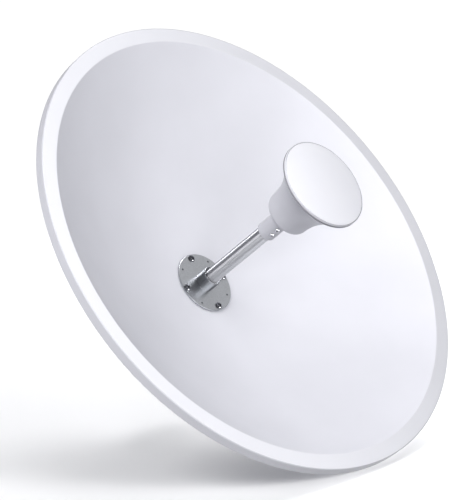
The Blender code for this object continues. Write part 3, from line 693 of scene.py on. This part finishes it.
def hexNutGrid(size):
    # a nut chamfered on both faces, with a thread of plain rings down its bore
    side, circle, fall = hexSides(size["flats"])
    thick, hole, pitch = size["nut"], size["nutBore"], size["pitch"]
    boreZ = np.linspace(thick - 0.0005, 0.0005, int(thick / pitch * 4))[:, None]
    bore = hole + 0.0001 * np.abs(2 * np.mod(boreZ / pitch, 1) - 1)
    radius = [hole + 0.0005, circle, side, side, circle, hole + 0.0005, bore]
    height = [0, 0, fall, thick - fall, thick, thick, boreZ]
    return turnedRows(radius, height, hexChamfer["columns"])


clamp = {"x": 0.036, "z": 0.060, "seat": 0.0043, "length": 0.0648, "jawBack": 0.0518}
places = [(side * clamp["x"], level * clamp["z"]) for level in (1, -1) for side in (-1, 1)]
for number, (x, z) in enumerate(places, 1):
    bolt = standing(hexHeadGrid(clamp["length"]), (x, -clamp["seat"], z), (0, -1, 0), 0.2 * number)
    pieceFrom(f"clampBolt{number}", bolt, False, boltZinc, "zinc_bolts", f"clamp_bolt_{number}")
    nut = standing(hexNutGrid(m8), (x, clamp["jawBack"], z), (0, 1, 0), 0.3 * number)
    pieceFrom(f"clampNut{number}", nut, True, boltZinc, "zinc_bolts", f"clamp_nut_{number}")

tilt = {"headSeat": 0.0473, "nutSeat": 0.0404, "ahead": 0.028, "drop": 0.030, "length": 0.0149}
for kind, z in (("pivot", -tilt["drop"]), ("lock", tilt["drop"])):
    for side, sign in (("left", -1), ("right", 1)):
        ending = side.title()
        bolt = standing(hexHeadGrid(tilt["length"]), (sign * tilt["headSeat"], -tilt["ahead"], z),
                        (sign, 0, 0), 0.25 + z * 9)
        pieceFrom(f"{kind}Bolt{ending}", bolt, False, boltZinc, "zinc_bolts", f"{kind}_bolt_{side}")
        nut = standing(hexNutGrid(m8), (sign * tilt["nutSeat"], -tilt["ahead"], z),
                       (-sign, 0, 0), 0.1 - z * 7)
        pieceFrom(f"{kind}Nut{ending}", nut, True, boltZinc, "zinc_bolts", f"{kind}_nut_{side}")

for number in range(4):
    nut = standing(hexNutGrid(m6), onBoltCircle(number, m6["nutSeat"]), (0, 1, 0))
    pieceFrom(f"flangeNut{number + 1}", nut, True, screwSteel, "bright_screws", f"flange_nut_{number + 1}")
print("screws, bolts and nuts made")


def brokenEdges(name, node, surface, slotName, width):
    # a merged copy of a CAD plate, its coplanar triangles joined, with a small bevel on every edge
    bm = bmesh.new()
    bm.from_mesh(nodes[node].data)
    bmesh.ops.remove_doubles(bm, verts=bm.verts, dist=1e-5)
    bmesh.ops.dissolve_limit(bm, angle_limit=math.radians(1), verts=bm.verts, edges=bm.edges)
    mesh = bpy.data.meshes.new(name)
    bm.to_mesh(mesh)
    bm.free()
    piece = addPiece(name, mesh, surface, slotName, [node])
    bevel = piece.modifiers.new("edges", "BEVEL")
    bevel.width, bevel.segments, bevel.limit_method, bevel.angle_limit = width, 2, "ANGLE", math.radians(40)
    bevel.use_clamp_overlap = True
    mesh.shade_smooth()
    mesh.set_sharp_from_angle(angle=math.radians(50))
    return piece


for name, node in (("backingPlate", "backing_plate"), ("tiltBracket", "tilt_bracket"),
                   ("mastChannel", "mast_channel"), ("upperJaw", "upper_jaw"), ("lowerJaw", "lower_jaw")):
    brokenEdges(name, node, sheetZinc, "zinc_plate", 0.0004)
brokenEdges("outletHousing", "outlet_housing", outletPlastic, "outlet_plastic", 0.0012)

socket = {"x": 0.0152, "ahead": 0.0396, "top": -0.0223, "radius": 0.0078, "barrel": 0.0070, "bore": 0.0052,
          "length": 0.022, "shoulder": 0.004, "depth": 0.008, "pin": 0.0014, "pitch": 0.0010, "columns": 48}


def socketGrid():
    # local z runs out of the housing: shoulder, undercut, threaded barrel, mouth, and the pin inside
    big, barrel, bore, pin = socket["radius"], socket["barrel"], socket["bore"], socket["pin"]
    shoulder, length = socket["shoulder"], socket["length"]
    floor = length - socket["depth"]
    threadRadius, threadZ = threadRows(barrel, shoulder + 0.001, length - 0.001, socket["pitch"],
                                       socket["columns"])
    radius = [0, big - 0.0003, big, big, big - 0.0003, barrel - 0.0006, threadRadius,
              barrel - 0.0005, bore + 0.0002, bore, bore, pin, pin, pin * 0.5, 0]
    height = [0, 0, 0.0003, shoulder - 0.0003, shoulder, shoulder, threadZ,
              length, length, length - 0.0002, floor, floor, length - 0.0016, length - 0.001, length - 0.001]
    return turnedRows(radius, height, socket["columns"])


for side, sign in (("left", -1), ("right", 1)):
    grid = standing(socketGrid(), (sign * socket["x"], -socket["ahead"], socket["top"]), (0, 0, -1))
    pieceFrom(f"connector{side.title()}", grid, False, nickel, "connector_metal", f"connector_{side}")
print("bracket and outlet made")


photoCamera = {
    "place": (-2.86991, -2.54321, -0.74521),
    "right": (0.63088, -0.59859, -0.49365),
    "up": (0.19347, -0.49478, 0.84721),
    "lens": 214.16,
    "shift": (-0.001, 0.0006),  # half a pixel right and a third of one down
}
floorUp = Vector((0.012, -0.627, 0.779)).normalized()

right = Vector(photoCamera["right"]).normalized()
up = Vector(photoCamera["up"])
up = (up - right * up.dot(right)).normalized()
back = right.cross(up)
cameraData = bpy.data.cameras.new("photoCamera")
cameraData.lens = photoCamera["lens"]
cameraData.shift_x, cameraData.shift_y = photoCamera["shift"]
cameraData.clip_start, cameraData.clip_end = 0.05, 60.0
camera = bpy.data.objects.new("photoCamera", cameraData)
scene.collection.objects.link(camera)
turned = Matrix((right, up, back)).transposed().to_4x4()
camera.matrix_world = Matrix.Translation(photoCamera["place"]) @ turned
scene.camera = camera
scene.view_settings.view_transform = "Standard"
scene.view_settings.look = "None"

lowest = dish["hubAhead"] + dish["bowlDepth"] - dish["bandFall"] - dish["lip"]
tilted = math.hypot(floorUp.x, floorUp.z)
paperSweep = {
    "height": Vector((0, -lowest, 0)).dot(floorUp) - dish["rimRadius"] * tilted - 0.0005,
    "radius": 6.0,
    "rings": 12,
    "columns": 96,
    "fadeFrom": 0.7,
    "fadeTo": 1.4,
}


def floorGrid():
    # a disc under the rim's lowest point: point(r, v) = r (side cos v + other sin v) + up height
    angle = np.linspace(0, fullTurn, paperSweep["columns"], endpoint=False)[None, :, None]
    radius = np.linspace(0, paperSweep["radius"], paperSweep["rings"])[:, None, None]
    side = floorUp.orthogonal().normalized()
    other = floorUp.cross(side)
    flat = radius * (np.cos(angle) * np.array(side) + np.sin(angle) * np.array(other))
    return flat + np.array(floorUp) * paperSweep["height"]


def whitePaper():
    # Matt white paper with a faint tooth, which gives the soft shadow its ground. It fades out to the
    # backdrop away from the dish, and is seen from above only, so that a view from behind looks past it.
    made, tree, shader, place = startMaterial("whitePaperSweep", "f4f4f5", 0.9)
    tooth = addNode(tree, "ShaderNodeTexNoise", {"Vector": place}, {"Scale": 600.0, "Detail": 2.0})
    tint(tree, shader, tooth.outputs["Fac"], "f3f3f4", "f5f5f6")
    away = addNode(tree, "ShaderNodeVectorMath", {0: place}, operation="LENGTH").outputs["Value"]
    fade = addNode(tree, "ShaderNodeMapRange", {"Value": away},
                   {"From Min": paperSweep["fadeFrom"], "From Max": paperSweep["fadeTo"],
                    "To Min": 1.0, "To Max": 0.0}, interpolation_type="SMOOTHSTEP")
    underside = addNode(tree, "ShaderNodeNewGeometry").outputs["Backfacing"]
    upper = addNode(tree, "ShaderNodeMath", {1: underside}, {0: 1.0}, operation="SUBTRACT")
    alpha = addNode(tree, "ShaderNodeMath", {0: fade.outputs["Result"], 1: upper.outputs[0]},
                    operation="MULTIPLY")
    tree.links.new(alpha.outputs[0], shader.inputs["Alpha"])
    return made


grid = floorGrid()
rows, columns = grid.shape[:2]
index = np.arange(rows * columns).reshape(rows, columns)
nextColumn = np.roll(index, -1, 1)
quads = np.stack([index[:-1], index[1:], nextColumn[1:], nextColumn[:-1]], -1).reshape(-1, 4)
floorMesh = bpy.data.meshes.new("floor")
floorMesh.from_pydata(grid.reshape(-1, 3), [], quads)
floorMesh.materials.append(whitePaper())
floor = bpy.data.objects.new("floor", floorMesh)
scene.collection.objects.link(floor)
floor.visible_diffuse = floor.visible_glossy = floor.visible_shadow = False

studio = bpy.data.worlds.new("studio")
scene.world = studio
studio.use_nodes = True
tree = studio.node_tree
for node in list(tree.nodes):
    tree.nodes.remove(node)
# plain white behind the object, and for all else a dim room that falls off below the floor
seen = addNode(tree, "ShaderNodeLightPath").outputs["Is Camera Ray"]
backdrop = addNode(tree, "ShaderNodeBackground", None, {"Color": (1, 1, 1, 1), "Strength": 1.05})
toward = addNode(tree, "ShaderNodeTexCoord").outputs["Generated"]
rise = addNode(tree, "ShaderNodeVectorMath", {0: toward}, {1: tuple(floorUp)}, operation="DOT_PRODUCT")
glow = addNode(tree, "ShaderNodeMapRange", {"Value": rise.outputs["Value"]},
               {"From Min": -0.5, "From Max": 0.3, "To Min": 0.14, "To Max": 0.22},
               interpolation_type="SMOOTHSTEP")
room = addNode(tree, "ShaderNodeBackground", {"Strength": glow.outputs["Result"]},
               {"Color": (0.93, 0.95, 1, 1)})
both = addNode(tree, "ShaderNodeMixShader", {0: seen, 1: room.outputs[0], 2: backdrop.outputs[0]})
addNode(tree, "ShaderNodeOutputWorld", {"Surface": both.outputs[0]})

# Softboxes. Bearing is degrees round to the right from the side where the camera stands, height is
# degrees above the floor.
softboxes = {
    "highLeft": {"bearing": -60, "height": 70, "away": 2.4, "wide": 1.6, "watts": 21.0, "on": "object"},
    "left": {"bearing": -40, "height": 40, "away": 2.4, "wide": 1.9, "watts": 35.5, "on": "object"},
    "front": {"bearing": 10, "height": 10, "away": 2.4, "wide": 1.9, "watts": 34.5, "on": "object"},
    "right": {"bearing": 90, "height": 40, "away": 2.4, "wide": 1.6, "watts": 3.0, "on": "object"},
    "lipFill": {"bearing": 15, "height": -35, "away": 2.4, "wide": 1.6, "watts": 18.0, "on": "dish"},
    "floorFront": {"bearing": -30, "height": 38, "away": 2.2, "wide": 0.9, "watts": 15.5, "on": "floor"},
    "floorRight": {"bearing": 60, "height": 18, "away": 2.2, "wide": 0.9, "watts": 35.5, "on": "floor"},
    "floorRightLow": {"bearing": 60, "height": 12, "away": 2.2, "wide": 0.9, "watts": 24.5, "on": "floor"},
    "floorBack": {"bearing": 150, "height": 38, "away": 2.2, "wide": 0.9, "watts": 24.0, "on": "floor"},
    "floorFarBack": {"bearing": 170, "height": 38, "away": 2.2, "wide": 0.9, "watts": 11.0, "on": "floor"},
    "floorBackLeft": {"bearing": -150, "height": 20, "away": 2.2, "wide": 0.9, "watts": 22.0, "on": "floor"},
}
toCamera = (back - floorUp * back.dot(floorUp)).normalized()
toRight = toCamera.cross(floorUp)
if toRight.dot(right) < 0:
    toRight = -toRight

# Lamps nearer by, most of them for the bare metal alone, which shows its lamps as streaks, and for the
# bracket behind. Around is degrees about the dish axis from +X towards +Z, ahead is degrees in front of
# a plane square to that axis.
nearLamps = {
    "tubeStreak": {"around": 97, "ahead": 22, "wide": 0.22, "watts": 20.0, "on": "tube"},
    "tubeLeft": {"around": 168, "ahead": 22, "wide": 0.55, "watts": 12.0, "on": "tube"},
    "tubeFront": {"around": 208, "ahead": 22, "wide": 1.1, "watts": 15.0, "on": "tube"},
    "tubeRight": {"around": 262, "ahead": 22, "wide": 1.0, "watts": 13.0, "on": "tube"},
    "tubeLow": {"around": 318, "ahead": 42, "wide": 1.1, "watts": 19.0, "on": "tube"},
    "tubeBehind": {"around": 0, "ahead": 42, "wide": 0.5, "watts": 5.0, "on": "tube"},
    "flangeHigh": {"around": 62, "ahead": 22, "wide": 0.6, "watts": 16.0, "on": "flange"},
    "bossStreak": {"around": 74, "ahead": 38, "wide": 0.25, "watts": 2.0, "on": "flange"},
    "flangeEdge": {"around": 230, "ahead": 60, "wide": 0.4, "watts": 4.5, "on": "flange"},
    "flangeMirror": {"around": 15, "ahead": 40, "wide": 1.2, "watts": 2.6, "on": "flange"},
    "flangeLow": {"around": 264, "ahead": 20, "wide": 1.5, "watts": 10.0, "on": "flange"},
    "flangeLowAhead": {"around": 275, "ahead": 42, "wide": 0.9, "watts": 3.5, "on": "flange"},
    "screwsLow": {"around": 305, "ahead": 45, "wide": 0.45, "watts": 9.0, "on": "screws"},
    "screwsFront": {"around": 250, "ahead": 25, "wide": 0.9, "watts": 2.0, "on": "screws"},
    "lidLeft": {"around": 190, "ahead": 40, "wide": 1.0, "watts": 1.3, "on": "lid"},
    "rearHigh": {"around": 40, "ahead": -62, "wide": 1.0, "watts": 6.0, "on": "object"},
    "rearSide": {"around": -20, "ahead": -35, "wide": 1.0, "watts": 3.5, "on": "object"},
    "bracketLeft": {"around": 165, "ahead": -40, "wide": 1.0, "watts": 14.0, "on": "bracket"},
    "bracketTop": {"around": 100, "ahead": -25, "wide": 0.9, "watts": 10.0, "on": "bracket"},
    "bracketBelow": {"around": 250, "ahead": -30, "wide": 0.9, "watts": 6.0, "on": "bracket"},
    "bracketRight": {"around": 5, "ahead": -15, "wide": 0.9, "watts": 2.5, "on": "bracket"},
    "hornRight": {"around": 15, "ahead": 4, "wide": 0.9, "watts": 5.0, "on": "horn"},
}
lampDistance, lampAim, softboxAim = 1.3, Vector((0, -0.12, 0)), Vector((0, -0.15, 0))

# each group has lamps of its own, and only the dish, lid, horn and bracket take the shared ones as well
litBy = {
    "floor": ["floor"],
    "dish": ["reflectorShell"],
    "flange": ["feedFlange"],
    "tube": ["feedTube"] + [f"collarScrew{number}" for number in (1, 2, 3, 4)],
    "screws": [f"flangeScrew{number}" for number in (1, 2, 3, 4)],
    "lid": ["hornLid"],
    "bracket": bracketPieces,
    "horn": ["feedHorn", "tubeCollar"],
}
receivers = {}
for group, members in litBy.items():
    receivers[group] = bpy.data.collections.new(group + "Only")
    for member in members:
        receivers[group].objects.link(bpy.data.objects[member])
receivers["object"] = bpy.data.collections.new("allButFloorAndMetal")
for member in litBy["floor"] + litBy["flange"] + litBy["tube"] + litBy["screws"]:
    receivers["object"].objects.link(bpy.data.objects[member])
for entry in receivers["object"].collection_objects:
    entry.light_linking.link_state = "EXCLUDE"


def addSoftbox(name, target, out, away, box):
    # a square lamp at a distance along out, facing the target, that the camera doesn't see
    data = bpy.data.lights.new(name, "AREA")
    data.shape, data.size, data.energy = "SQUARE", box["wide"], box["watts"]
    light = bpy.data.objects.new(name, data)
    scene.collection.objects.link(light)
    facing = out.to_track_quat("Z", "Y").to_matrix().to_4x4()
    light.matrix_world = Matrix.Translation(target + out * away) @ facing
    light.visible_camera = False
    light.light_linking.receiver_collection = receivers[box["on"]]


for name, box in softboxes.items():
    bearing, height = math.radians(box["bearing"]), math.radians(box["height"])
    level = toCamera * math.cos(bearing) + toRight * math.sin(bearing)
    addSoftbox(name, softboxAim, level * math.cos(height) + floorUp * math.sin(height), box["away"], box)
for name, box in nearLamps.items():
    around, ahead = math.radians(box["around"]), math.radians(box["ahead"])
    out = Vector((math.cos(around) * math.cos(ahead), -math.sin(ahead), math.sin(around) * math.cos(ahead)))
    addSoftbox(name, lampAim, out, lampDistance, box)
print("camera, floor and light set")
